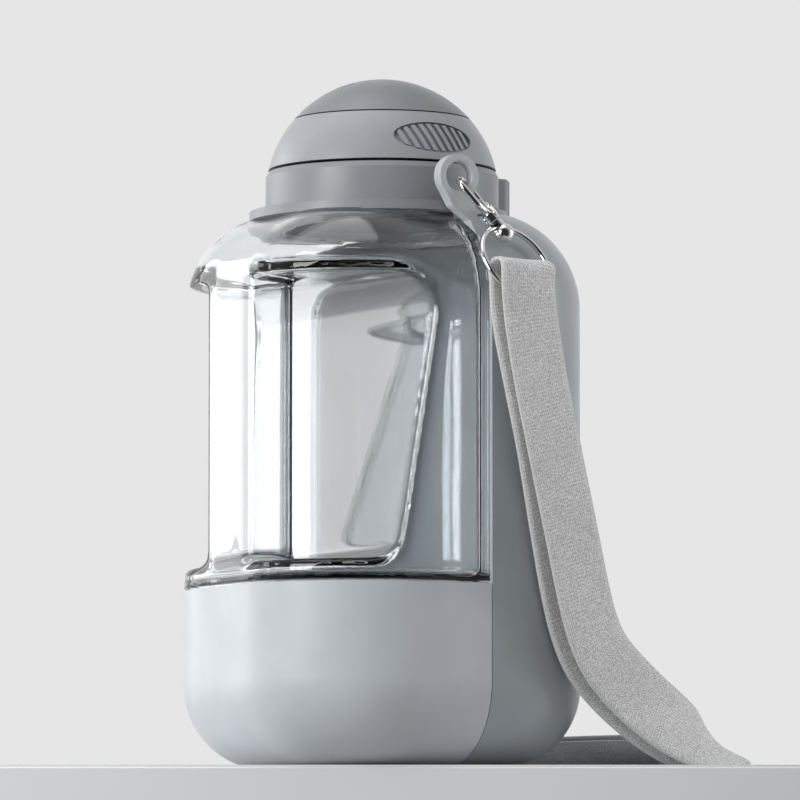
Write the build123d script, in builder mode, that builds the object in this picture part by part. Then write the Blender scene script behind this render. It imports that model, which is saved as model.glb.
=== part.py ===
# Pet travel jug: a clear water tank with a through-handle stands on a food cup, and a half-shell
# drinking bowl is pushed on from the side. The lid has a domed flip cover, and a webbing lanyard
# hangs from a lug on the bowl.
# Frame: millimetres, Z up from the table, X from the handle to the bowl, -Y is the lug's side.
import os
from math import cos, radians, sin, sqrt, tan

from build123d import *

os.makedirs("parts", exist_ok=True)

# The jug's common outer form, shared by cup, tank and bowl
body_length = 128.0
body_width = 120.0
body_height = 194.2
corner_radius = 45.0
foot_radius = 29.0
shoulder_radius = 34.0
split_x = 8.0  # the plane where the bowl's mouth meets tank and cup
part_gap = 0.3  # between pieces that come apart

# Cup
cup_height = 62.0
cup_wall = 3.2
skirt_depth = 9.0  # how far the tank's plug skirt reaches into the cup
skirt_wall = 2.4
seal_width = 1.6

# Tank
tank_wall = 2.6
nest_gap = 1.2  # between the tank's belly and the bowl around it
grip_rise = 8.0  # the handle hole's sill above the cup
grip_drop = 26.2  # and its top below the form's top
grip_low = cup_height + grip_rise
grip_high = body_height - grip_drop
grip_top_x = -12.0  # slanted inner wall of the handle hole, at its top
grip_bottom_x = -29.0
grip_top_round = 13.0
grip_bottom_round = 8.0
bar_outer_x = -63.0
bar_depth = 20.0
bar_width = 36.0
bar_round = 8.0

# Neck, collar and lid
neck_sink = 3.0  # how far the neck's seat is cut into the form's top
neck_seat_z = body_height - neck_sink
neck_radius = 37.4
neck_wall = 2.6
neck_height = 11.8
neck_top_z = neck_seat_z + neck_height
flange_radius = 46.5
flange_thickness = 3.2
root_radius = 43.6  # the neck's root, under the flange
collar_radius = 40.8
collar_wall = 2.6
collar_height = 13.8
collar_ledge = 2.2
collar_chamfer = 0.9
ledge_inner_radius = 33.0
deck_thickness = 2.6
seal_fit = 0.02
spout_radius = 9.0
spout_wall = 2.2
spout_height = 12.0

# Hinge housing on the collar's bowl side
hinge_x = 45.0
hinge_drop = 2.2  # the pin below the collar's top
housing_reach = 48.4
housing_width = 19.0
knuckle_radius = 2.3
knuckle_width = 9.0
pin_radius = 1.1
pin_fit = 0.05
pin_cap = 1.2  # plastic left over the pin's ends
slot_clearance = 0.4
housing_round = 4.0

# Domed flip cover
dome_gap = 1.0  # between collar and dome
dome_radius = 40.8
dome_centre_z = 200.7
dome_wall = 2.4
liner_thickness = 1.6
plug_cap = 2.2
plug_reach = 2.6
plug_stem = 3.5
seam_z = 227.2
seam_gap = 0.5
crown_socket_radius = 25.0
crown_shelf = 2.4
crown_skirt = 4.0
clip_lap = 1.4  # how far the clip reaches under the shelf
dish_radius = 7.0
dish_depth = 1.3
dish_tilt = 21.0  # from the top, towards the handle
grip_width = 31.0
grip_tall = 11.0
grip_depth = 1.3
grip_z = 217.5
grip_rib_count = 9
grip_rib_width = 1.3
grip_rib_slant = 22.0
grip_rib_sink = 0.25  # the ribs' tops below the dome's surface

# Bowl and lug
bowl_wall = 3.2
lug_radius = 7.7
lug_hole_radius = 5.0
lug_thickness = 4.4
lug_round = 1.2
lug_inset = 12.4  # the lug's back face, in from the jug's side
lug_rise = 11.3  # the lug's hole above the neck's seat
lug_back = body_width / 2 - lug_inset
lug_z = neck_seat_z + lug_rise
arm_foot = 7.0  # how far the arm's foot runs on over the bowl
hang_angle = 48.0  # where the hook holds the lug's ring, from its lowest point

# Snap hook
wire_radius = 1.1
hook_radius = 4.9
hook_turn = 38.0  # the hook's plane, turned about its own length
eye_across = 14.9
eye_inset = 3.0
eye_drop = 8.2
eye_point = Vector(eye_across, eye_inset - body_width / 2, neck_seat_z - eye_drop)
ball_radius = 3.4
ball_bore = 1.6
shank_radius = 2.4
pass_rise = 2.4  # the ring's place in the swivel, above its ball's middle
barrel_radius = 2.6
barrel_low = 5.4
barrel_high = 8.2
nose_length = 4.4
gate_radius = 1.0
gate_pivot_x = 3.0
cheek_half = 2.2
rivet_radius = 0.6
thumb_radius = 1.6

# Ring and webbing
ring_radius = 14.2
ring_wire = 0.95
ring_lean = 30.0  # the ring's plane, from the vertical outwards
ring_roll = 5.0  # how far the ring has slipped round in the swivel
webbing_width = 24.0
webbing_thickness = 1.5
web_turn = 10.0  # the webbing's flat faces, turned from the front about the vertical
fold_side = -0.6  # the fold's middle, beside the ring's middle
fold_centre = 168.3
rear_layer = 0.6  # the two layers, outwards from the ring's middle
front_layer = 9.0
bend_share = 0.45
table_gap = 0.4
run_height = 11.0
run_thickness = 3.4


def jug_form(inset):
    # The whole outer form, drawn in by the same amount on every side
    with BuildPart() as form:
        with BuildSketch(Plane.XY.offset(inset)):
            RectangleRounded(body_length - 2 * inset, body_width - 2 * inset, corner_radius - inset)
        extrude(amount=body_height - 2 * inset)
        fillet(form.faces().sort_by(Axis.Z)[-1].edges(), shoulder_radius - inset)
        fillet(form.faces().sort_by(Axis.Z)[0].edges(), foot_radius - inset)
    return form.part


def ball_radius_at(height, radius):
    # Radius of the dome's sphere at a height
    return sqrt(radius**2 - (height - dome_centre_z) ** 2)


far = 2 * body_length
half_side = split_x - part_gap / 2  # where the handle side ends
bowl_side = split_x + part_gap / 2  # where the bowl begins
tank_low = cup_height + part_gap
skirt_inset = cup_wall + seal_width + part_gap
belly_inset = bowl_wall + nest_gap
outer_form = jug_form(0)

# Food cup: the handle side of the foot, open at the top
with BuildPart() as cup_cavity:
    add(jug_form(cup_wall))
    split(bisect_by=Plane.YZ.offset(half_side - cup_wall), keep=Keep.BOTTOM)

with BuildPart() as food_cup:
    add(outer_form)
    split(bisect_by=Plane.YZ.offset(half_side), keep=Keep.BOTTOM)
    split(bisect_by=Plane.XY.offset(cup_height), keep=Keep.BOTTOM)
    add(cup_cavity.part, mode=Mode.SUBTRACT)
food_cup.part.label = "food_cup"
export_step(food_cup.part, "parts/food_cup.step")

# Cup seal: a soft band in the cup's mouth, round the tank's skirt
with BuildPart() as seal_core:
    add(jug_form(cup_wall + seal_width))
    split(bisect_by=Plane.YZ.offset(half_side - cup_wall - seal_width), keep=Keep.BOTTOM)

with BuildPart() as cup_seal:
    add(cup_cavity.part)
    split(bisect_by=Plane.XY.offset(cup_height - skirt_depth + seal_width), keep=Keep.TOP)
    split(bisect_by=Plane.XY.offset(cup_height - seal_width), keep=Keep.BOTTOM)
    add(seal_core.part, mode=Mode.SUBTRACT)
cup_seal.part.label = "cup_seal"
export_step(cup_seal.part, "parts/cup_seal.step")


def grip_void(grow):
    # The handle's through-hole, wrapped round the bar; grow widens it and thins the bar
    with BuildPart() as void:
        with BuildSketch(Plane.XZ) as side:
            with BuildLine():
                Polyline(
                    (-far, grip_low),
                    (grip_bottom_x, grip_low),
                    (grip_top_x, grip_high),
                    (-far, grip_high),
                    close=True,
                )
            make_face()
            fillet(side.vertices().group_by(Axis.Y)[0].sort_by(Axis.X)[-1], grip_bottom_round)
            fillet(side.vertices().group_by(Axis.Y)[-1].sort_by(Axis.X)[-1], grip_top_round)
            if grow:
                offset(amount=grow)
        extrude(amount=far, both=True)
        with BuildSketch(Plane.XY.offset(grip_low - grow)):
            with Locations((bar_outer_x + bar_depth / 2, 0)):
                RectangleRounded(bar_depth - 2 * grow, bar_width - 2 * grow, bar_round - grow)
        extrude(amount=grip_high - grip_low + 2 * grow, mode=Mode.SUBTRACT)
    return void.part


# Tank: the handle side above the cup, and a belly that fills the bowl's upper part
with BuildPart() as belly:
    add(jug_form(belly_inset))
    split(bisect_by=Plane.YZ.offset(half_side - tank_wall), keep=Keep.TOP)
    split(bisect_by=Plane.XY.offset(tank_low), keep=Keep.TOP)

with BuildPart() as tank_skirt:
    add(jug_form(skirt_inset))
    split(bisect_by=Plane.YZ.offset(half_side - skirt_inset), keep=Keep.BOTTOM)
    split(bisect_by=Plane.XY.offset(cup_height - skirt_depth), keep=Keep.TOP)
    split(bisect_by=Plane.XY.offset(tank_low + tank_wall / 2), keep=Keep.BOTTOM)

with BuildPart() as skirt_hollow:
    add(jug_form(skirt_inset + skirt_wall))
    split(bisect_by=Plane.YZ.offset(half_side - skirt_inset - skirt_wall), keep=Keep.BOTTOM)
    split(bisect_by=Plane.XY.offset(tank_low), keep=Keep.BOTTOM)

with BuildPart() as tank_water:
    add(jug_form(tank_wall))
    split(bisect_by=Plane.YZ.offset(half_side - tank_wall), keep=Keep.BOTTOM)
    add(jug_form(belly_inset + tank_wall))
    split(bisect_by=Plane.XY.offset(tank_low + tank_wall), keep=Keep.TOP)
    split(bisect_by=Plane.XY.offset(neck_seat_z - tank_wall), keep=Keep.BOTTOM)
    add(grip_void(tank_wall), mode=Mode.SUBTRACT)
    with BuildSketch(Plane.XY.offset(neck_seat_z - 2 * tank_wall)):
        Circle(neck_radius - neck_wall)
    extrude(amount=neck_top_z)

with BuildPart() as tank_shell:
    add(outer_form)
    split(bisect_by=Plane.YZ.offset(half_side), keep=Keep.BOTTOM)
    split(bisect_by=Plane.XY.offset(tank_low), keep=Keep.TOP)
    with BuildSketch(Plane.XY.offset(neck_seat_z)):
        Circle(flange_radius + part_gap)
    extrude(amount=far, mode=Mode.SUBTRACT)
    add(belly.part)
    with BuildSketch(Plane.XY.offset(neck_seat_z - 2 * tank_wall - nest_gap)):
        Circle(root_radius)
    extrude(amount=2 * tank_wall + nest_gap)
    with BuildSketch(Plane.XY.offset(neck_seat_z)):
        Circle(neck_radius)
    extrude(amount=neck_top_z - neck_seat_z)
    add(grip_void(0), mode=Mode.SUBTRACT)
    add(tank_skirt.part)
    add(skirt_hollow.part, mode=Mode.SUBTRACT)
    add(tank_water.part, mode=Mode.SUBTRACT)
tank_shell.part.label = "tank_shell"
export_step(tank_shell.part, "parts/tank_shell.step")

# Neck ring: the flange that shows under the collar on the handle side; the bowl's top edge takes its place
with BuildPart() as neck_ring:
    with BuildSketch(Plane.XY.offset(neck_seat_z)):
        Circle(flange_radius)
        Rectangle(far, far, align=(Align.MIN, Align.CENTER), mode=Mode.SUBTRACT)
        Circle(root_radius)
        Circle(neck_radius + pin_fit, mode=Mode.SUBTRACT)
    extrude(amount=flange_thickness)
neck_ring.part.label = "neck_ring"
export_step(neck_ring.part, "parts/neck_ring.step")

# Drinking bowl: the other half from shoulder to foot, open towards the tank
with BuildPart() as drink_bowl:
    add(outer_form)
    split(bisect_by=Plane.YZ.offset(bowl_side), keep=Keep.TOP)
    add(jug_form(bowl_wall), mode=Mode.SUBTRACT)
    with BuildSketch(Plane.XY.offset(body_height - shoulder_radius)):
        Circle(root_radius + 2 * part_gap)
    extrude(amount=far, mode=Mode.SUBTRACT)
drink_bowl.part.label = "drink_bowl"
export_step(drink_bowl.part, "parts/drink_bowl.step")

# Carry lug: a thick ring on an arm that grows out of the bowl's rim
with BuildPart() as tank_clearance:
    add(jug_form(-part_gap))
    split(bisect_by=Plane.YZ.offset(bowl_side), keep=Keep.BOTTOM)

with BuildPart() as bowl_clearance:
    add(outer_form)
    split(bisect_by=Plane.YZ.offset(bowl_side), keep=Keep.TOP)

with BuildPart() as carry_lug:
    with BuildSketch(Plane.XZ.offset(lug_back)) as lug_face:
        with Locations((0, lug_z)):
            Circle(lug_radius)
        with BuildLine():
            Polyline(
                (-0.85 * lug_radius, lug_z - 0.5 * lug_radius),
                (-0.35 * lug_radius, lug_z - 1.35 * lug_radius),
                (0.55 * lug_radius, lug_z - 1.95 * lug_radius),
                (bowl_side, lug_z - 2.9 * lug_radius),
                (bowl_side + arm_foot, lug_z - 3.4 * lug_radius),
                (bowl_side + arm_foot, lug_z - 2.9 * lug_radius),
                (bowl_side - 1, lug_z - 1.8 * lug_radius),
                (0.6 * lug_radius, lug_z - 0.7 * lug_radius),
                close=True,
            )
        make_face()
        with Locations((0, lug_z)):
            Circle(lug_hole_radius, mode=Mode.SUBTRACT)
    extrude(amount=lug_thickness)
    fillet(carry_lug.edges().filter_by(GeomType.CIRCLE).group_by(SortBy.RADIUS)[0], lug_round)
    add(tank_clearance.part, mode=Mode.SUBTRACT)
    add(bowl_clearance.part, mode=Mode.SUBTRACT)
carry_lug.part.label = "carry_lug"
export_step(carry_lug.part, "parts/carry_lug.step")

# Neck gasket: the sealing ring between the neck's top and the lid's deck
collar_low = neck_seat_z + flange_thickness + part_gap
collar_top = collar_low + collar_height
collar_inner = collar_radius - collar_wall
deck_top = collar_top - collar_ledge
deck_low = deck_top - deck_thickness
with BuildPart() as neck_gasket:
    with BuildSketch(Plane.XY.offset(neck_top_z + seal_fit)):
        Circle(neck_radius)
        Circle(neck_radius - neck_wall, mode=Mode.SUBTRACT)
    extrude(amount=deck_low - neck_top_z - 2 * seal_fit)
neck_gasket.part.label = "neck_gasket"
export_step(neck_gasket.part, "parts/neck_gasket.step")

# Screw collar: outer ring with an inward ledge on top and the hinge housing on the bowl's side
pin_z = collar_top - hinge_drop
with BuildPart() as screw_collar:
    with BuildSketch(Plane.XY.offset(collar_low)):
        Circle(collar_radius)
    extrude(amount=collar_height)
    chamfer(screw_collar.faces().sort_by(Axis.Z)[-1].edges(), collar_chamfer * 2, collar_chamfer)
    with BuildSketch(Plane.XY.offset(collar_low)) as housing_plan:
        with Locations((collar_inner, 0)):
            Rectangle(housing_reach - collar_inner, housing_width, align=(Align.MIN, Align.CENTER))
        fillet(housing_plan.vertices().group_by(Axis.X)[-1], housing_round)
    extrude(amount=collar_height)
    chamfer(screw_collar.edges().filter_by(Axis.Y).group_by(Axis.Z)[-1].sort_by(Axis.X)[-1], collar_chamfer)
    with BuildSketch(Plane.XY.offset(collar_low)):
        Circle(collar_inner)
    extrude(amount=collar_height - collar_ledge, mode=Mode.SUBTRACT)
    with BuildSketch(Plane.XY.offset(collar_low)):
        Circle(ledge_inner_radius)
    extrude(amount=collar_height, mode=Mode.SUBTRACT)
    with BuildSketch(Plane.XZ) as knuckle_slot:
        with BuildLine():
            Polyline(
                (collar_inner, collar_top + 1),
                (collar_inner + collar_wall / 2, pin_z - knuckle_radius - slot_clearance),
                (housing_reach + 1, pin_z - knuckle_radius - slot_clearance),
                (housing_reach + 1, collar_top + 1),
                close=True,
            )
        make_face()
    extrude(amount=knuckle_width / 2 + slot_clearance, both=True, mode=Mode.SUBTRACT)
    with BuildSketch(Plane.XZ):
        with Locations((hinge_x, pin_z)):
            Circle(pin_radius + pin_fit)
    extrude(amount=housing_width / 2 - pin_cap, both=True, mode=Mode.SUBTRACT)
screw_collar.part.label = "screw_collar"
export_step(screw_collar.part, "parts/screw_collar.step")

# Hinge pin: steel rod through both cheeks of the housing
with BuildPart() as hinge_pin:
    with BuildSketch(Plane.XZ):
        with Locations((hinge_x, pin_z)):
            Circle(pin_radius)
    extrude(amount=housing_width / 2 - pin_cap - pin_fit, both=True)
hinge_pin.part.label = "hinge_pin"
export_step(hinge_pin.part, "parts/hinge_pin.step")

# Lid deck: the disc that closes the neck, with a bore for the spout
spout_bore = spout_radius - spout_wall
with BuildPart() as lid_deck:
    with BuildSketch(Plane.XY.offset(deck_low)):
        Circle(collar_inner - pin_fit)
        Circle(spout_bore, mode=Mode.SUBTRACT)
    extrude(amount=deck_thickness)
lid_deck.part.label = "lid_deck"
export_step(lid_deck.part, "parts/lid_deck.step")

# Pour spout: a flanged tube with a rolled lip, standing on the deck
with BuildPart() as pour_spout:
    with BuildSketch(Plane.XZ) as spout_section:
        with BuildLine():
            Polyline(
                (spout_bore, deck_top),
                (spout_radius + spout_wall, deck_top),
                (spout_radius + spout_wall, deck_top + spout_wall / 2),
                (spout_radius, deck_top + spout_wall),
                (spout_radius - spout_wall / 4, deck_top + spout_height),
                (spout_bore, deck_top + spout_height),
                close=True,
            )
        make_face()
    revolve(axis=Axis.Z)
pour_spout.part.label = "pour_spout"
export_step(pour_spout.part, "parts/pour_spout.step")

# Dome band: the lower shell of the flip cover, with a socket on top for the crown
dome_low = collar_top + dome_gap
band_top = seam_z - seam_gap / 2
shelf_low = band_top - crown_shelf
dome_inner = dome_radius - dome_wall
arch_z = (dome_low + band_top) / 2


def grip_shell(inner, outer):
    # The space between two spheres round the dome's centre, over the height of the finger grips
    low = grip_z - grip_tall
    high = grip_z + grip_tall
    with BuildPart() as shell:
        with BuildSketch(Plane.XZ):
            with BuildLine():
                ThreePointArc(
                    (ball_radius_at(low, inner), low),
                    (ball_radius_at(grip_z, inner), grip_z),
                    (ball_radius_at(high, inner), high),
                )
                Line((ball_radius_at(high, inner), high), (ball_radius_at(high, outer), high))
                ThreePointArc(
                    (ball_radius_at(high, outer), high),
                    (ball_radius_at(grip_z, outer), grip_z),
                    (ball_radius_at(low, outer), low),
                )
                Line((ball_radius_at(low, outer), low), (ball_radius_at(low, inner), low))
            make_face()
        revolve(axis=Axis.Z)
    return shell.part


with BuildPart() as grip_pocket:
    with BuildSketch(Plane.XZ):
        with Locations((0, grip_z)):
            Ellipse(grip_width / 2, grip_tall / 2)
    extrude(amount=far, both=True)
    add(grip_shell(dome_radius - grip_depth, dome_radius + grip_depth), mode=Mode.INTERSECT)

rib_pitch = grip_width / (grip_rib_count + 1)
with BuildPart() as grip_ribs:
    with BuildSketch(Plane.XZ):
        with Locations((0, grip_z)):
            with GridLocations(rib_pitch, 0, grip_rib_count, 1):
                Rectangle(grip_rib_width, 2 * grip_tall, rotation=grip_rib_slant)
            Ellipse((grip_width - grip_rib_width) / 2, (grip_tall - grip_rib_width) / 2, mode=Mode.INTERSECT)
    extrude(amount=far, both=True)
    add(grip_shell(dome_radius - 1.5 * grip_depth, dome_radius - grip_rib_sink), mode=Mode.INTERSECT)

handle_half = Plane(origin=(0, 0, 0), x_dir=(-1, 0, 0), z_dir=(0, 1, 0))
with BuildPart() as dome_band:
    with BuildSketch(handle_half):
        with BuildLine():
            ThreePointArc(
                (ball_radius_at(dome_low, dome_radius), dome_low),
                (ball_radius_at(arch_z, dome_radius), arch_z),
                (ball_radius_at(band_top, dome_radius), band_top),
            )
            Polyline(
                (ball_radius_at(band_top, dome_radius), band_top),
                (crown_socket_radius, band_top),
                (crown_socket_radius, shelf_low),
                (ball_radius_at(shelf_low, dome_inner), shelf_low),
            )
            ThreePointArc(
                (ball_radius_at(shelf_low, dome_inner), shelf_low),
                (ball_radius_at(arch_z, dome_inner), arch_z),
                (ball_radius_at(dome_low, dome_inner), dome_low),
            )
            Line(
                (ball_radius_at(dome_low, dome_inner), dome_low),
                (ball_radius_at(dome_low, dome_radius), dome_low),
            )
        make_face()
    revolve(axis=Axis.Z)
    add(grip_pocket.part, mode=Mode.SUBTRACT)
    add(grip_ribs.part)
    with BuildSketch(Plane.XZ) as knuckle:
        with Locations((hinge_x, pin_z)):
            Circle(knuckle_radius)
        with Locations((ball_radius_at(dome_low, dome_inner) + dome_wall / 2, dome_low + dome_wall)):
            Circle(dome_wall / 2)
        make_hull()
        with Locations((hinge_x, pin_z)):
            Circle(pin_radius + pin_fit, mode=Mode.SUBTRACT)
    extrude(amount=knuckle_width / 2, both=True)
dome_band.part.label = "dome_band"
export_step(dome_band.part, "parts/dome_band.step")

# Dome liner: the plate inside the band that carries the spout's plug
liner_top = deck_top + spout_height + plug_cap + liner_thickness
liner_low = liner_top - liner_thickness
with BuildPart() as dome_liner:
    with BuildSketch(Plane.XY.offset(liner_low)):
        Circle(ball_radius_at(liner_top, dome_inner) - pin_fit)
        Circle(plug_stem + pin_fit, mode=Mode.SUBTRACT)
    extrude(amount=liner_thickness)
dome_liner.part.label = "dome_liner"
export_step(dome_liner.part, "parts/dome_liner.step")

# Spout plug: soft cap and stopper, its stem buttoned through the liner
with BuildPart() as spout_plug:
    with BuildSketch(Plane.XZ):
        with BuildLine():
            Polyline(
                (0, deck_top + spout_height - plug_reach),
                (spout_bore - 3 * part_gap, deck_top + spout_height - plug_reach),
                (spout_bore - part_gap, deck_top + spout_height + part_gap),
                (spout_radius + part_gap, deck_top + spout_height + part_gap),
                (spout_radius + part_gap, deck_top + spout_height - plug_reach),
                (spout_radius + spout_wall, deck_top + spout_height - plug_reach),
                (spout_radius + spout_wall, liner_low),
                (plug_stem, liner_low),
                (plug_stem, liner_top),
                (0, liner_top),
                close=True,
            )
        make_face()
    revolve(axis=Axis.Z)
spout_plug.part.label = "spout_plug"
export_step(spout_plug.part, "parts/spout_plug.step")

# Dome crown: the cap above the seam, turning in the band's socket, with a vent dish on its handle side
crown_low = seam_z + seam_gap / 2
skirt_outer = crown_socket_radius - part_gap
skirt_inner = skirt_outer - dome_wall
skirt_foot = crown_low - crown_skirt
inner_meet_z = dome_centre_z + sqrt(dome_inner**2 - skirt_inner**2)
crown_mid = ball_radius_at(crown_low, dome_radius) / 2
inner_mid = skirt_inner / 2
with BuildPart() as dome_crown:
    with BuildSketch(Plane.XZ):
        with BuildLine():
            ThreePointArc(
                (ball_radius_at(crown_low, dome_radius), crown_low),
                (crown_mid, dome_centre_z + sqrt(dome_radius**2 - crown_mid**2)),
                (0, dome_centre_z + dome_radius),
            )
            Line((0, dome_centre_z + dome_radius), (0, dome_centre_z + dome_inner))
            ThreePointArc(
                (0, dome_centre_z + dome_inner),
                (inner_mid, dome_centre_z + sqrt(dome_inner**2 - inner_mid**2)),
                (skirt_inner, inner_meet_z),
            )
            Polyline(
                (skirt_inner, inner_meet_z),
                (skirt_inner, skirt_foot),
                (skirt_outer, skirt_foot),
                (skirt_outer, crown_low),
                (ball_radius_at(crown_low, dome_radius), crown_low),
            )
        make_face()
    revolve(axis=Axis.Z)
    with Locations(
        (
            -(dome_radius + dish_radius - dish_depth) * sin(radians(dish_tilt)),
            0,
            dome_centre_z + (dome_radius + dish_radius - dish_depth) * cos(radians(dish_tilt)),
        )
    ):
        Sphere(dish_radius, mode=Mode.SUBTRACT)
dome_crown.part.label = "dome_crown"
export_step(dome_crown.part, "parts/dome_crown.step")

# Crown clip: spring ring in a groove under the shelf that keeps the crown in its socket
with BuildPart() as crown_clip:
    with BuildSketch(Plane.XY.offset(skirt_foot)):
        Circle(crown_socket_radius + clip_lap)
        Circle(skirt_outer, mode=Mode.SUBTRACT)
        Rectangle(far, clip_lap, align=(Align.MIN, Align.CENTER), mode=Mode.SUBTRACT)
    extrude(amount=shelf_low - skirt_foot - part_gap)
crown_clip.part.label = "crown_clip"
export_step(crown_clip.part, "parts/crown_clip.step")

# The snap hook lies in a plane through the eye's ball and the lower right of the lug's ring
lug_middle = lug_back + lug_thickness / 2
ring_middle = (lug_radius + lug_hole_radius) / 2
held_point = Vector(
    ring_middle * sin(radians(hang_angle)), -lug_middle, lug_z - ring_middle * cos(radians(hang_angle))
)
hook_up = (held_point - eye_point).normalized()
back = Vector(0, 1, 0)
flat_side = (back - hook_up * back.dot(hook_up)).normalized()
hook_side = flat_side.rotate(Axis((0, 0, 0), hook_up), -hook_turn)
hook_plane = Plane(origin=eye_point, x_dir=hook_side, z_dir=hook_side.cross(hook_up))
hook_rise = (held_point - eye_point).length
nose_low = hook_rise - nose_length
gate_foot = barrel_high + gate_radius
with BuildPart() as clasp_hook:
    with BuildLine(hook_plane) as hook_line:
        FilletPolyline(
            (0, barrel_high - 1),
            (0, barrel_high + wire_radius),
            (-hook_radius, hook_rise - hook_radius * 1.4),
            (-hook_radius, hook_rise),
            radius=hook_radius / 2,
        )
        ThreePointArc((-hook_radius, hook_rise), (0, hook_rise + hook_radius), (hook_radius, hook_rise))
        Line((hook_radius, hook_rise), (hook_radius, nose_low))
    with BuildSketch(Plane(origin=hook_line.line @ 0, z_dir=hook_line.line % 0)):
        Circle(wire_radius)
    sweep(path=hook_line.line)
    with BuildSketch(Plane(origin=hook_plane.from_local_coords(Vector(0, barrel_low)), z_dir=hook_up)):
        Circle(barrel_radius)
    extrude(amount=barrel_high - barrel_low)
    with BuildSketch(hook_plane) as cheek:
        with Locations((gate_pivot_x, gate_foot)):
            Circle(gate_radius * 1.8)
        with Locations((0, barrel_high - 1)):
            Circle(gate_radius * 1.8)
        make_hull()
    extrude(amount=cheek_half, both=True)
    with BuildSketch(hook_plane):
        with Locations((gate_pivot_x + gate_radius, gate_foot + gate_radius)):
            Rectangle(6 * gate_radius, 6 * gate_radius)
    extrude(amount=gate_radius + part_gap, both=True, mode=Mode.SUBTRACT)
    with BuildSketch(hook_plane):
        with Locations((gate_pivot_x, gate_foot)):
            Circle(rivet_radius + pin_fit)
    extrude(amount=far, both=True, mode=Mode.SUBTRACT)
clasp_hook.part.label = "clasp_hook"
export_step(clasp_hook.part, "parts/clasp_hook.step")

# Clasp gate: sprung bar that closes the hook, with a flat eye between the cheeks and a thumb ball
gate_top = nose_low - part_gap
thumb_x = gate_pivot_x + gate_radius + thumb_radius
thumb_y = gate_foot + 3 * gate_radius
with BuildPart() as clasp_gate:
    with BuildSketch(hook_plane) as gate_eye:
        with Locations((gate_pivot_x, gate_foot)):
            Circle(gate_radius * 1.6)
    extrude(amount=gate_radius * 0.7, both=True)
    with BuildLine(hook_plane) as gate_line:
        Line((gate_pivot_x, gate_foot), (hook_radius, gate_top))
    with BuildSketch(Plane(origin=gate_line.line @ 0, z_dir=gate_line.line % 0)):
        Circle(gate_radius)
    sweep(path=gate_line.line)
    with Locations(hook_plane.from_local_coords(Vector(thumb_x, thumb_y))):
        Sphere(thumb_radius)
    with BuildSketch(hook_plane):
        with Locations((gate_pivot_x, gate_foot)):
            Circle(rivet_radius + pin_fit)
    extrude(amount=far, both=True, mode=Mode.SUBTRACT)
clasp_gate.part.label = "clasp_gate"
export_step(clasp_gate.part, "parts/clasp_gate.step")

# Gate pin: the rivet through cheeks and gate
with BuildPart() as gate_pin:
    with BuildSketch(hook_plane):
        with Locations((gate_pivot_x, gate_foot)):
            Circle(rivet_radius)
    extrude(amount=cheek_half, both=True)
gate_pin.part.label = "gate_pin"
export_step(gate_pin.part, "parts/gate_pin.step")

# The ring's frame: across the webbing, outwards from the jug, and down to its lowest point
web_across = Vector(cos(radians(web_turn)), sin(radians(web_turn)), 0)
web_outward = Vector(sin(radians(web_turn)), -cos(radians(web_turn)), 0)
ring_down = web_outward * sin(radians(ring_lean)) - Vector(0, 0, cos(radians(ring_lean)))
ring_pass = eye_point + hook_up * pass_rise
to_centre = ring_down * cos(radians(ring_roll)) + web_across * sin(radians(ring_roll))
ring_centre = ring_pass + to_centre * ring_radius
ring_axis = web_across.cross(ring_down)
ring_way = ring_axis.cross(to_centre)

# Swivel ball: the end that turns below the barrel and carries the ring in its cross bore
swivel_side = (hook_up.cross(ring_way)).normalized()
swivel_half = Plane(origin=eye_point, x_dir=swivel_side, z_dir=swivel_side.cross(hook_up))
with BuildPart() as swivel_ball:
    with BuildSketch(swivel_half):
        Circle(ball_radius)
        Rectangle(shank_radius, barrel_low - part_gap, align=(Align.MIN, Align.MIN))
        Rectangle(far, far, align=(Align.MAX, Align.CENTER), mode=Mode.SUBTRACT)
    revolve(axis=Axis(eye_point, hook_up))
    with BuildSketch(Plane(origin=ring_pass, z_dir=ring_way)):
        Circle(ball_bore)
    extrude(amount=far, both=True, mode=Mode.SUBTRACT)
swivel_ball.part.label = "swivel_ball"
export_step(swivel_ball.part, "parts/swivel_ball.step")

# Split ring: hangs from the swivel and carries the webbing
with BuildPart() as split_ring:
    with BuildSketch(Plane(origin=ring_centre + ring_down * ring_radius, z_dir=web_across)):
        Circle(ring_wire)
    revolve(axis=Axis(ring_centre, ring_axis))
split_ring.part.label = "split_ring"
export_step(split_ring.part, "parts/split_ring.step")


def bend_radii(points):
    # The largest arc that each corner of a route has room for
    radii = []
    for before, here, after in zip(points, points[1:], points[2:]):
        first = Vector(*here) - Vector(*before)
        second = Vector(*after) - Vector(*here)
        half_turn = radians(first.get_angle(second)) / 2
        radii.append(bend_share * min(first.length, second.length) / tan(half_turn))
    return radii


# Webbing that hangs from the ring: folded over the ring's lower arc, both layers falling flat side
# by side and bending edgewise out to the right. Route points are (across, height) of the middle.
fall_route = [
    (fold_side, fold_centre),
    (fold_side, 150),
    (4.5, 131),
    (26.2, 50),
    (35.5, 35),
    (57, 19.5),
    (88, 2),
]
fall_radii = bend_radii(fall_route)

# The run: from the layers' end back along the table on edge, past the bowl's side and behind the jug
run_route = [
    (92, -50),
    (104, -48),
    (108, -38),
    (100, -27),
    (90, -12),
    (84.5, 8),
    (82, 31),
    (75, 54),
    (58, 76),
    (34, 90),
]
run_radii = bend_radii(run_route)
end_across = 82
print("webbing radii in mm:", [round(r, 1) for r in fall_radii + run_radii])

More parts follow.
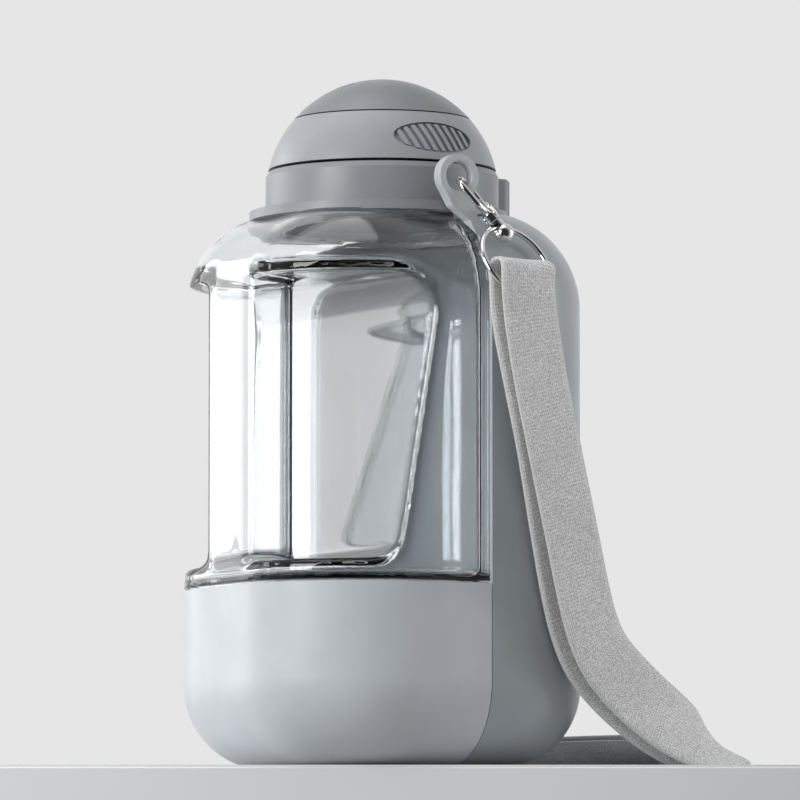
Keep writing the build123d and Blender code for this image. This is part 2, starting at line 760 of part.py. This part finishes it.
web_plane = Plane(origin=(ring_centre.X, ring_centre.Y, 0), x_dir=web_across, z_dir=web_outward)
layer_middle = (front_layer + rear_layer) / 2
fold_outer = (front_layer - rear_layer + webbing_thickness) / 2
fold_origin = web_plane.from_local_coords(Vector(fold_side, fold_centre, layer_middle))
end_origin = web_plane.from_local_coords(Vector(end_across, table_gap, layer_middle))
with BuildPart() as strap:
    for place in (rear_layer, front_layer):
        with BuildSketch(web_plane.offset(place - webbing_thickness / 2)):
            with BuildLine():
                FilletPolyline(*fall_route, radius=fall_radii)
            trace(line_width=webbing_width)
            with Locations((0, table_gap)):
                Rectangle(3 * far, far, align=(Align.CENTER, Align.MAX), mode=Mode.SUBTRACT)
        extrude(amount=webbing_thickness)
    with BuildSketch(Plane(origin=fold_origin, x_dir=web_outward, z_dir=-web_across)):
        Circle(fold_outer)
        Circle(fold_outer - webbing_thickness, mode=Mode.SUBTRACT)
        Rectangle(far, far, align=(Align.CENTER, Align.MAX), mode=Mode.SUBTRACT)
    extrude(amount=webbing_width / 2, both=True)
    with BuildSketch(Plane(origin=end_origin, x_dir=web_across, z_dir=(0, 0, 1))):
        Circle(fold_outer)
        Circle(fold_outer - webbing_thickness, mode=Mode.SUBTRACT)
        Rectangle(far, far, align=(Align.MAX, Align.CENTER), mode=Mode.SUBTRACT)
    extrude(amount=run_height)
    with BuildSketch(Plane.XY.offset(table_gap)):
        with BuildLine():
            FilletPolyline(*run_route, radius=run_radii)
        trace(line_width=run_thickness)
    extrude(amount=run_height)
strap.part.label = "strap"
export_step(strap.part, "parts/strap.step")
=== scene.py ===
import math

import bpy
import bmesh
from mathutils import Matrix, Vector


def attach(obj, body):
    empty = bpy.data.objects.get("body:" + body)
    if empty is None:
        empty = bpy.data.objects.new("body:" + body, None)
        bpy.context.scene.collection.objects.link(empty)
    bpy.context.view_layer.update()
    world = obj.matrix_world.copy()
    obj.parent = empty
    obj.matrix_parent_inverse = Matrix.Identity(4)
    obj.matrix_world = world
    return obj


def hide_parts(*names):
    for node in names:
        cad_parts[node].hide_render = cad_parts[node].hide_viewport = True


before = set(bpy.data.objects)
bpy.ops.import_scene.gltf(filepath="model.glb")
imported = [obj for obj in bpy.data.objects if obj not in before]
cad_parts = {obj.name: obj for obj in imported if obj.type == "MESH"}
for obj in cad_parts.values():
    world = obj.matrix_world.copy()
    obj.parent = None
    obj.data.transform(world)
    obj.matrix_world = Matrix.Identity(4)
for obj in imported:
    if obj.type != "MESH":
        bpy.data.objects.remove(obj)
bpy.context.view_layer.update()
scene = bpy.context.scene
scene.view_settings.view_transform = "Standard"
print("frame loaded")

viewRight = Vector((0.857, -0.515, 0))
viewDepth = Vector((0.515, 0.857, 0))


def linear(red, green, blue):
    # An sRGB colour, 0 to 255, as linear RGBA
    values = []
    for level in (red, green, blue):
        level = level / 255
        values.append(level / 12.92 if level <= 0.04045 else ((level + 0.055) / 1.055) ** 2.4)
    return (*values, 1)


def newMaterial(name):
    material = bpy.data.materials.new(name)
    material.use_nodes = True
    tree = material.node_tree
    return material, tree, tree.nodes["Principled BSDF"]


def noiseNode(tree, coordinates, scale, detail=2.0):
    noise = tree.nodes.new("ShaderNodeTexNoise")
    noise.inputs["Scale"].default_value = scale
    noise.inputs["Detail"].default_value = detail
    tree.links.new(coordinates, noise.inputs["Vector"])
    return noise.outputs["Fac"]


def rangeNode(tree, value, low, high, fromLow=0.3, fromHigh=0.7):
    mapRange = tree.nodes.new("ShaderNodeMapRange")
    mapRange.inputs["From Min"].default_value = fromLow
    mapRange.inputs["From Max"].default_value = fromHigh
    mapRange.inputs["To Min"].default_value = low
    mapRange.inputs["To Max"].default_value = high
    tree.links.new(value, mapRange.inputs["Value"])
    return mapRange.outputs["Result"]


def blendNode(tree, value, first, second, way="MIX"):
    # Two tones, each a constant or a node's output, blended by a number or a node's output
    mix = tree.nodes.new("ShaderNodeMix")
    mix.data_type = "RGBA"
    mix.blend_type = way
    for slot, given in ((0, value), (6, first), (7, second)):
        if isinstance(given, (float, tuple)):
            mix.inputs[slot].default_value = given
        else:
            tree.links.new(given, mix.inputs[slot])
    return mix.outputs[2]


def bumpNode(tree, height, strength, distance, below=None):
    bump = tree.nodes.new("ShaderNodeBump")
    bump.inputs["Strength"].default_value = strength
    bump.inputs["Distance"].default_value = distance
    tree.links.new(height, bump.inputs["Height"])
    if below:
        tree.links.new(below, bump.inputs["Normal"])
    return bump.outputs["Normal"]


def place(tree):
    return tree.nodes.new("ShaderNodeTexCoord").outputs["Object"]


def mouldedPlastic(name, colour, roughness, grain=0.12, spread=5):
    # Injection-moulded plastic: faint flow mottle, fine spark grain, uneven polish
    material, tree, shader = newMaterial(name)
    where = place(tree)
    dark = linear(*[level - spread for level in colour])
    light = linear(*[level + spread for level in colour])
    mottle = noiseNode(tree, where, 34, 3)
    tone = blendNode(tree, rangeNode(tree, mottle, 0, 1), dark, light)
    tree.links.new(tone, shader.inputs["Base Color"])
    polish = rangeNode(tree, noiseNode(tree, where, 90, 4), roughness - 0.05, roughness + 0.05)
    tree.links.new(polish, shader.inputs["Roughness"])
    fine = bumpNode(tree, noiseNode(tree, where, 2600, 2), grain, 0.00006)
    flow = bumpNode(tree, noiseNode(tree, where, 45, 1), 0.05, 0.0006, fine)
    tree.links.new(flow, shader.inputs["Normal"])
    shader.inputs["IOR"].default_value = 1.49
    return material


def clearPlastic(name, colour, roughness):
    # Blow-moulded clear wall: slight waves, haze that comes and goes
    material, tree, shader = newMaterial(name)
    where = place(tree)
    cloud = rangeNode(tree, noiseNode(tree, where, 20, 2), 0, 1)
    tone = blendNode(tree, cloud, linear(*[level - 4 for level in colour]), linear(*colour))
    tree.links.new(tone, shader.inputs["Base Color"])
    haze = noiseNode(tree, where, 60, 3)
    tree.links.new(rangeNode(tree, haze, roughness * 0.6, roughness * 1.4), shader.inputs["Roughness"])
    waves = bumpNode(tree, noiseNode(tree, where, 26, 1), 0.22, 0.0012)
    tree.links.new(waves, shader.inputs["Normal"])
    shader.inputs["Transmission Weight"].default_value = 1.0
    shader.inputs["IOR"].default_value = 1.47
    # Light from the lamps passes the clear wall instead of leaving a black shadow inside it
    shadowRay = tree.nodes.new("ShaderNodeLightPath").outputs["Is Shadow Ray"]
    tree.links.new(rangeNode(tree, shadowRay, 1.0, 0.16, 0, 1), shader.inputs["Alpha"])
    return material


def metal(name, colour, roughness):
    # Plated metal: small dents and wiped-down streaks
    material, tree, shader = newMaterial(name)
    where = place(tree)
    worn = noiseNode(tree, where, 420, 4)
    dull = linear(*[level - 14 for level in colour])
    tone = blendNode(tree, rangeNode(tree, worn, 0, 1), dull, linear(*colour))
    tree.links.new(tone, shader.inputs["Base Color"])
    wiped = noiseNode(tree, where, 900, 3)
    tree.links.new(rangeNode(tree, wiped, roughness * 0.6, roughness * 1.6), shader.inputs["Roughness"])
    dents = bumpNode(tree, noiseNode(tree, where, 700, 2), 0.12, 0.0001)
    tree.links.new(dents, shader.inputs["Normal"])
    shader.inputs["Metallic"].default_value = 1.0
    return material


# The cup's grey is painted lighter than the bowl's: painted light from the key lamp on the cup's lit
# side, over the plastic's own grey
cupGreyPaintedLit = mouldedPlastic("cupGreyPaintedLit", (197, 202, 206), 0.38)
bowlGrey = mouldedPlastic("bowlGrey", (160, 166, 170), 0.34)
collarGrey = mouldedPlastic("collarGrey", (140, 143, 147), 0.4)
domeGrey = mouldedPlastic("domeGrey", (156, 159, 163), 0.38)
crownGrey = mouldedPlastic("crownGrey", (130, 134, 138), 0.38)
# The lug is the bowl's grey plastic painted lighter: painted light where the key lamp falls on the lug
lugGreyPaintedLit = mouldedPlastic("lugGreyPaintedLit", (190, 195, 199), 0.38)
deckGrey = mouldedPlastic("deckGrey", (176, 179, 182), 0.42)
sealSilicone = mouldedPlastic("sealSilicone", (205, 207, 209), 0.6, 0.2)
tankClear = clearPlastic("tankClear", (249, 251, 252), 0.03)
chrome = metal("chrome", (236, 236, 234), 0.1)
pinSteel = metal("pinSteel", (200, 200, 198), 0.22)
print("materials made")

finishes = {
    "food_cup": cupGreyPaintedLit,
    "cup_seal": sealSilicone,
    "tank_shell": tankClear,
    "neck_ring": collarGrey,
    "drink_bowl": bowlGrey,
    "carry_lug": lugGreyPaintedLit,
    "clasp_hook": chrome,
    "gate_pin": pinSteel,
    "clasp_gate": chrome,
    "swivel_ball": chrome,
    "split_ring": chrome,
    "neck_gasket": sealSilicone,
    "screw_collar": collarGrey,
    "lid_deck": deckGrey,
    "pour_spout": deckGrey,
    "hinge_pin": pinSteel,
    "dome_band": domeGrey,
    "dome_liner": deckGrey,
    "spout_plug": sealSilicone,
    "dome_crown": crownGrey,
    "crown_clip": pinSteel,
}
for nodeName, finish in finishes.items():
    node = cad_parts[nodeName]
    node.data.materials.clear()
    node.data.materials.append(finish)
print("node materials set")


def applied(thing, kind, **settings):
    # The mesh that a thing has under one modifier, which doesn't stay on it
    modifier = thing.modifiers.new(kind.lower(), kind)
    for name, value in settings.items():
        setattr(modifier, name, value)
    depsgraph = bpy.context.evaluated_depsgraph_get()
    result = bpy.data.meshes.new_from_object(thing.evaluated_get(depsgraph))
    thing.modifiers.remove(modifier)
    return result


# Tank skin: the tank's own walls as one even mesh, with its bends softened between base and neck
tankSkin = {
    "voxel": 0.00112,
    "everywhere": 2,
    "soft": 15,
    "triangles": 190000,
    "fade": 0.004,
    "low": 0.0665,
    "high": 0.187,
    "right": 0.001,
}
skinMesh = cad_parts["tank_shell"].data.copy()
skinBuild = bmesh.new()
skinBuild.from_mesh(skinMesh)
bmesh.ops.remove_doubles(skinBuild, verts=skinBuild.verts[:], dist=0.000004)
skinBuild.to_mesh(skinMesh)
skinBuild.free()
tankWall = bpy.data.objects.new("tankWall", skinMesh)
scene.collection.objects.link(tankWall)
wallMesh = applied(tankWall, "REMESH", mode="VOXEL", voxel_size=tankSkin["voxel"])
tankWall.data = wallMesh
skinBuild = bmesh.new()
skinBuild.from_mesh(wallMesh)
halfway = {"factor": 0.5, "use_axis_x": True, "use_axis_y": True, "use_axis_z": True}
for step in range(tankSkin["everywhere"]):
    bmesh.ops.smooth_vert(skinBuild, verts=skinBuild.verts[:], **halfway)
for step in range(tankSkin["soft"]):
    # The softened zone closes in a little each time, so it fades out towards neck, base and bowl
    inset = tankSkin["fade"] * step / tankSkin["soft"]
    low, high = tankSkin["low"] + inset * 0.4, tankSkin["high"] - inset
    right = tankSkin["right"] - inset
    soft = [vertex for vertex in skinBuild.verts if low < vertex.co.z < high and vertex.co.x < right]
    bmesh.ops.smooth_vert(skinBuild, verts=soft, **halfway)
skinBuild.to_mesh(wallMesh)
skinBuild.free()
wallMesh = applied(tankWall, "DECIMATE", ratio=tankSkin["triangles"] / (2 * len(wallMesh.polygons)))
tankWall.data = wallMesh
wallMesh.shade_smooth()
wallMesh.name = "tankSkin"
wallMesh.materials.clear()
wallMesh.materials.append(tankClear)
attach(tankWall, "tank")
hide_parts("tank_shell")
print("tank skin:", len(wallMesh.polygons), "faces")

# Camera: a long lens, low and level with the table, tipped up a little
view = {"lens": 316.8, "back": 2.45, "right": 0.00626, "height": -0.0819, "pitch": math.radians(4.92)}
cameraData = bpy.data.cameras.new("camera")
cameraData.lens = view["lens"]
cameraData.sensor_width = 36
cameraData.clip_end = 20
camera = bpy.data.objects.new("camera", cameraData)
scene.collection.objects.link(camera)
camera.location = -view["back"] * viewDepth + view["right"] * viewRight + Vector((0, 0, view["height"]))
looking = viewDepth * math.cos(view["pitch"]) + Vector((0, 0, math.sin(view["pitch"])))
camera.rotation_euler = looking.to_track_quat("-Z", "Y").to_euler()
scene.camera = camera
print("camera placed")

# Table: a pale slab whose straight front edge is just in front of the jug
slab = {"edge": -0.052, "deep": 2.4, "wide": 5, "thick": 0.12}
tableWhite, tableTree, tableShader = newMaterial("tableWhite")
tableWhere = place(tableTree)
tableCloud = rangeNode(tableTree, noiseNode(tableTree, tableWhere, 6, 3), 0, 1)
tableTone = blendNode(tableTree, tableCloud, linear(226, 227, 228), linear(233, 234, 235))
tableTree.links.new(tableTone, tableShader.inputs["Base Color"])
tableShader.inputs["Roughness"].default_value = 0.22
slabMesh = bpy.data.meshes.new("tableSlab")
slabBuild = bmesh.new()
bmesh.ops.create_cube(slabBuild, size=1)
for vertex in slabBuild.verts:
    along = vertex.co.x * slab["wide"]
    into = slab["edge"] + (slab["deep"] if vertex.co.y > 0 else 0)
    under = 0 if vertex.co.z > 0 else -slab["thick"]
    vertex.co = viewRight * along + viewDepth * into + Vector((0, 0, under))
bmesh.ops.bevel(slabBuild, geom=slabBuild.edges[:], offset=0.0012, segments=3, affect="EDGES")
slabBuild.to_mesh(slabMesh)
slabBuild.free()
slabMesh.materials.append(tableWhite)
tableSlab = bpy.data.objects.new("tableSlab", slabMesh)
scene.collection.objects.link(tableSlab)

jugMiddle = Vector((0, 0, 0.12))


def areaLamp(name, right, depth, height, size, power):
    # A lamp at a place given along the picture's right and depth, turned to the jug's middle
    lampData = bpy.data.lights.new(name, "AREA")
    lampData.shape = "RECTANGLE"
    lampData.size, lampData.size_y = size
    lampData.energy = power
    lamp = bpy.data.objects.new(name, lampData)
    scene.collection.objects.link(lamp)
    lamp.location = right * viewRight + depth * viewDepth + Vector((0, 0, height))
    lamp.rotation_euler = (jugMiddle - lamp.location).to_track_quat("-Z", "Y").to_euler()


areaLamp("keyLamp", -0.58, -0.5, 0.34, (0.3, 0.45), 3.8)
areaLamp("cardLamp", -0.95, 0.52, 0.16, (0.7, 1.1), 5.6)
areaLamp("topLamp", -0.25, -0.1, 1.3, (0.9, 0.9), 4)
areaLamp("edgeLamp", 1.1, 0.1, 0.2, (0.35, 1.0), 4.6)

# World: an even studio for the light. Reflections see a dark room behind the camera, paler sides and a
# white backdrop, and rays that leave through the clear walls see no tone darker than a mid grey
world = bpy.data.worlds.new("studio")
scene.world = world
world.use_nodes = True
worldTree = world.node_tree
background = worldTree.nodes["Background"]
direction = worldTree.nodes.new("ShaderNodeTexCoord").outputs["Generated"]
dot = worldTree.nodes.new("ShaderNodeVectorMath")
dot.operation = "DOT_PRODUCT"
worldTree.links.new(direction, dot.inputs[0])
dot.inputs[1].default_value = viewDepth
toBackdrop = rangeNode(worldTree, dot.outputs["Value"], 0, 1, 0.55, 0.93)
fromCamera = rangeNode(worldTree, dot.outputs["Value"], 0, 1, -0.7, -0.25)
sideTone = blendNode(worldTree, fromCamera, (0.03, 0.03, 0.032, 1), (0.56, 0.562, 0.566, 1))
roomTone = blendNode(worldTree, toBackdrop, sideTone, (0.96, 0.96, 0.96, 1))
lightPath = worldTree.nodes.new("ShaderNodeLightPath")
seenThrough = worldTree.nodes.new("ShaderNodeMath")
seenThrough.operation = "MAXIMUM"
worldTree.links.new(lightPath.outputs["Is Glossy Ray"], seenThrough.inputs[0])
worldTree.links.new(lightPath.outputs["Is Transmission Ray"], seenThrough.inputs[1])
lit = blendNode(worldTree, seenThrough.outputs["Value"], (0.385, 0.387, 0.391, 1), roomTone)
leavesWall = lightPath.outputs["Is Transmission Ray"]
throughWall = blendNode(worldTree, leavesWall, lit, (0.34, 0.342, 0.346, 1), "LIGHTEN")
fromLens = lightPath.outputs["Is Camera Ray"]
seen = blendNode(worldTree, fromLens, throughWall, (0.79, 0.79, 0.79, 1))
worldTree.links.new(seen, background.inputs["Color"])
print("stage and lamps placed")

# Webbing: one long band, folded over the ring's lower arc, falling as two layers to the table
webbing = {
    "middle": Vector((0.0161, -0.06287, 0)),
    "turn": 10.0,
    "width": 0.024,
    "thickness": 0.0015,
    "rear": 0.0006,
    "front": 0.009,
}


def splinePoints(controls, count):
    # Points along a clamped quadratic B-spline, for positions or directions
    spans = len(controls) - 2
    found = []
    for index in range(count):
        along = spans * index / (count - 1)
        span = min(int(along), spans - 1)
        part = along - span
        first, middle, last = controls[span], controls[span + 1], controls[span + 2]
        start = first if span == 0 else (first + middle) / 2
        end = last if span == spans - 1 else (middle + last) / 2
        found.append(start * (1 - part) ** 2 + middle * 2 * part * (1 - part) + end * part ** 2)
    return found


turn = math.radians(webbing["turn"])
acrossWeb = Vector((math.cos(turn), math.sin(turn), 0))
outFromJug = Vector((math.sin(turn), -math.cos(turn), 0))


def onFall(across, outward, height):
    sideways = acrossWeb * across + outFromJug * outward
    return webbing["middle"] + (sideways + Vector((0, 0, height))) / 1000


# Each key: across, outward and height of the band's middle in mm, and how far it leans back in degrees
frontKeys = [
    (93.5, 3.5, 8.2, 48), (84, 6.8, 9.4, 30), (71, 8.6, 12.8, 14), (57, 9.2, 19.4, 4),
    (42.5, 9.2, 28.8, 0),
    (31.5, 9, 38.5, 0), (25.8, 9, 49.5, 0), (22.3, 9, 60.5, 0), (19, 9, 73, 0), (15.8, 9, 85, 0),
    (12, 9, 98.5, 0), (8.4, 9, 112, 0), (2.9, 9, 132, 0), (-0.9, 9, 150, 0), (-2.4, 9, 160, 0),
    (-2.6, 9, 168.3, 0),
]
rearKeys = [
    (-0.6, 0.6, 168.3, 0), (-0.6, 0.6, 160, 0), (0.2, 1.4, 150, 0), (3.2, 3.4, 132, 0),
    (8.5, 3.6, 112, 0),
    (12, 3, 98.5, 0), (15.8, 2, 85, 0), (19, 1.4, 73, 0), (22.3, 1, 60.5, 0), (25.8, 0.8, 49.5, 0),
    (31.5, 0.6, 38.5, 0), (42.5, 0.8, 28.8, 0), (57, 0.8, 19.4, 4), (70, 0.2, 12.8, 14),
    (80, -1.6, 9.4, 30), (87.5, -4.6, 8, 48),
]


def fallKey(key, side):
    # A point on a layer and the direction that its outer face looks
    across, outward, height, lean = key
    tilt = math.radians(lean)
    facing = outFromJug * math.cos(tilt) + Vector((0, 0, math.sin(tilt)))
    return onFall(across, outward, height), facing * side


foldKeys = []
for step in range(1, 8):
    angle = math.pi * step / 8
    facing = outFromJug * math.cos(angle) + Vector((0, 0, math.sin(angle)))
    foldMiddle = onFall(-2.6 + 2.0 * step / 8, 4.8, 168.3)
    foldKeys.append((foldMiddle + facing * 0.0042, facing))

# The run: along the table beside the bowl and behind the jug, leaning on its lower edge
runRoute = [
    (0.1, -0.028), (0.0905, -0.0135), (0.0845, 0.006), (0.082, 0.03),
    (0.075, 0.054), (0.058, 0.076), (0.034, 0.09),
]
runLean = math.radians(27)
runHeight = 0.0064


def runKeys(side):
    # One layer of the run, from the fall's end to behind the jug, and its facing
    keys = []
    for index, (x, y) in enumerate(runRoute):
        before = Vector((*runRoute[max(index - 1, 0)], 0))
        after = Vector((*runRoute[min(index + 1, len(runRoute) - 1)], 0))
        forward = (after - before).normalized()
        outside = Vector((forward.y, -forward.x, 0))
        facing = outside * math.sin(runLean) + Vector((0, 0, math.cos(runLean)))
        keys.append((Vector((x, y, runHeight)) + facing * side * 0.00095, facing * side))
    return keys


outerRun = [(Vector((0.1115, -0.041, 0.0078)), Vector((0.35, -0.2, 0.9))), *runKeys(1)]
innerRun = [(Vector((0.104, -0.0385, 0.0066)), Vector((-0.35, 0.2, -0.9))), *runKeys(-1)]
beyond = (outerRun[-1][0] - outerRun[-2][0]).normalized()
closingMiddle = (outerRun[-1][0] + innerRun[-1][0]) / 2
closing = [(closingMiddle + beyond * 0.0012, beyond)]
frontSide = [fallKey(key, 1) for key in frontKeys]
rearSide = [fallKey(key, -1) for key in rearKeys]
bandKeys = outerRun[::-1] + frontSide + foldKeys + rearSide + innerRun + closing
roughCount = 60 * len(bandKeys)
bandPath = splinePoints([key[0] for key in bandKeys], roughCount)
bandFacing = splinePoints([key[1] for key in bandKeys], roughCount)
bandLength = sum((later - earlier).length for earlier, later in zip(bandPath, bandPath[1:]))
print("webbing length in mm:", round(bandLength * 1000, 1))

# Even stations, three to a weft rib
ribPitch = 0.00125
stationCount = 3 * int(bandLength / ribPitch)
stations = []
walked = 0.0
wanted = 0.0
for index in range(len(bandPath) - 1):
    stepLength = (bandPath[index + 1] - bandPath[index]).length
    while wanted <= walked + stepLength and len(stations) < stationCount:
        part = (wanted - walked) / stepLength
        point = bandPath[index].lerp(bandPath[index + 1], part)
        facing = bandFacing[index].lerp(bandFacing[index + 1], part)
        stations.append((point, facing, wanted))
        wanted += bandLength / (stationCount - 1) * 0.99999
    walked += stepLength

halfWide = webbing["width"] / 2
halfThick = webbing["thickness"] / 2
outline = [(-1 + 2 * step / 12, 1) for step in range(13)]
outline += [(1 - 2 * step / 12, -1) for step in range(13)]
bandMesh = bmesh.new()
uvLayer = bandMesh.loops.layers.uv.new("weave")
rings = []
for index, (point, facing, along) in enumerate(stations):
    before = stations[max(index - 2, 0)][0]
    after = stations[min(index + 2, len(stations) - 1)][0]
    forward = (after - before).normalized()
    wide = forward.cross(facing).normalized()
    outer = wide.cross(forward).normalized()
    rib = (0.93, 1.0, 0.97)[index % 3]
    loop = []
    for across, side in outline:
        edgeSoft = math.sqrt(max(0.0, 1 - max(0.0, (abs(across) - 0.94) / 0.06) ** 2 * 0.72))
        ribWide = halfWide + (0.00008 if index % 3 == 1 else 0)
        offset = wide * across * ribWide + outer * side * halfThick * rib * edgeSoft
        loop.append(bandMesh.verts.new(point + offset))
    rings.append(loop)
count = len(outline)
for index in range(len(rings) - 1):
    first, second = rings[index], rings[index + 1]
    for place0 in range(count):
        place1 = (place0 + 1) % count
        face = bandMesh.faces.new((first[place0], first[place1], second[place1], second[place0]))
        face.smooth = True
        corners = ((index, place0), (index, place1), (index + 1, place1), (index + 1, place0))
        for loopCorner, (station, spot) in zip(face.loops, corners):
            loopCorner[uvLayer].uv = (stations[station][2], outline[spot][0] * halfWide)
bandMesh.faces.new(rings[0])
bandMesh.faces.new(rings[-1][::-1])
bmesh.ops.recalc_face_normals(bandMesh, faces=bandMesh.faces[:])
strapMesh = bpy.data.meshes.new("webbingBand")
bandMesh.to_mesh(strapMesh)
bandMesh.free()

# Woven polyester: weft ribs, warp lines, brighter selvedges and a little fuzz
webbingGrey, webTree, webShader = newMaterial("webbingGrey")
uvNode = webTree.nodes.new("ShaderNodeUVMap")
uvNode.uv_map = "weave"
split = webTree.nodes.new("ShaderNodeSeparateXYZ")
webTree.links.new(uvNode.outputs["UV"], split.inputs["Vector"])


def mathNode(tree, operation, first, second=None):
    node = tree.nodes.new("ShaderNodeMath")
    node.operation = operation
    for slot, value in enumerate((first, second)):
        if value is None:
            continue
        if isinstance(value, (int, float)):
            node.inputs[slot].default_value = value
        else:
            tree.links.new(value, node.inputs[slot])
    return node.outputs["Value"]


def threads(across, pitch):
    # Even threads side by side, as a wave of one pitch
    return mathNode(webTree, "SINE", mathNode(webTree, "MULTIPLY", across, 2 * math.pi / pitch))


weft = threads(split.outputs["X"], ribPitch)
warp = threads(split.outputs["Y"], 0.0009)
zigzag = mathNode(webTree, "PINGPONG", split.outputs["Y"], 0.004)
twillPlace = mathNode(webTree, "ADD", mathNode(webTree, "MULTIPLY", zigzag, 1.1), split.outputs["X"])
twill = threads(twillPlace, 0.0012)
webWhere = place(webTree)
fuzz = noiseNode(webTree, webWhere, 1700, 4)
patches = noiseNode(webTree, webWhere, 55, 3)
weaveSum = mathNode(webTree, "MULTIPLY", weft, 0.12)
for thread, share in ((warp, 0.15), (twill, 0.2), (fuzz, 2.7)):
    weaveSum = mathNode(webTree, "ADD", weaveSum, mathNode(webTree, "MULTIPLY", thread, share))
selvedge = rangeNode(webTree, mathNode(webTree, "ABSOLUTE", split.outputs["Y"]), 0, 1, 0.0108, 0.0118)
toneFactor = rangeNode(webTree, weaveSum, 0, 1, 0.95, 1.75)
toneBase = blendNode(webTree, toneFactor, linear(190, 190, 189), linear(255, 255, 254))
patchTone = blendNode(webTree, rangeNode(webTree, patches, 0, 1), (0.9, 0.9, 0.9, 1), (1, 1, 1, 1))
worn = blendNode(webTree, 1.0, toneBase, patchTone, "MULTIPLY")
edgeShare = mathNode(webTree, "MULTIPLY", selvedge, 0.6)
webTone = blendNode(webTree, edgeShare, worn, linear(214, 214, 212))
webTree.links.new(webTone, webShader.inputs["Base Color"])
webTree.links.new(rangeNode(webTree, fuzz, 0.75, 0.95), webShader.inputs["Roughness"])
webTree.links.new(bumpNode(webTree, weaveSum, 0.55, 0.00022), webShader.inputs["Normal"])
webShader.inputs["Sheen Weight"].default_value = 0.35
webShader.inputs["Sheen Roughness"].default_value = 0.5
strapMesh.materials.append(webbingGrey)
webbingBand = bpy.data.objects.new("webbingBand", strapMesh)
scene.collection.objects.link(webbingBand)
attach(webbingBand, "lanyard")
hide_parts("strap")
print("webbing made")

bpy.context.view_layer.update()
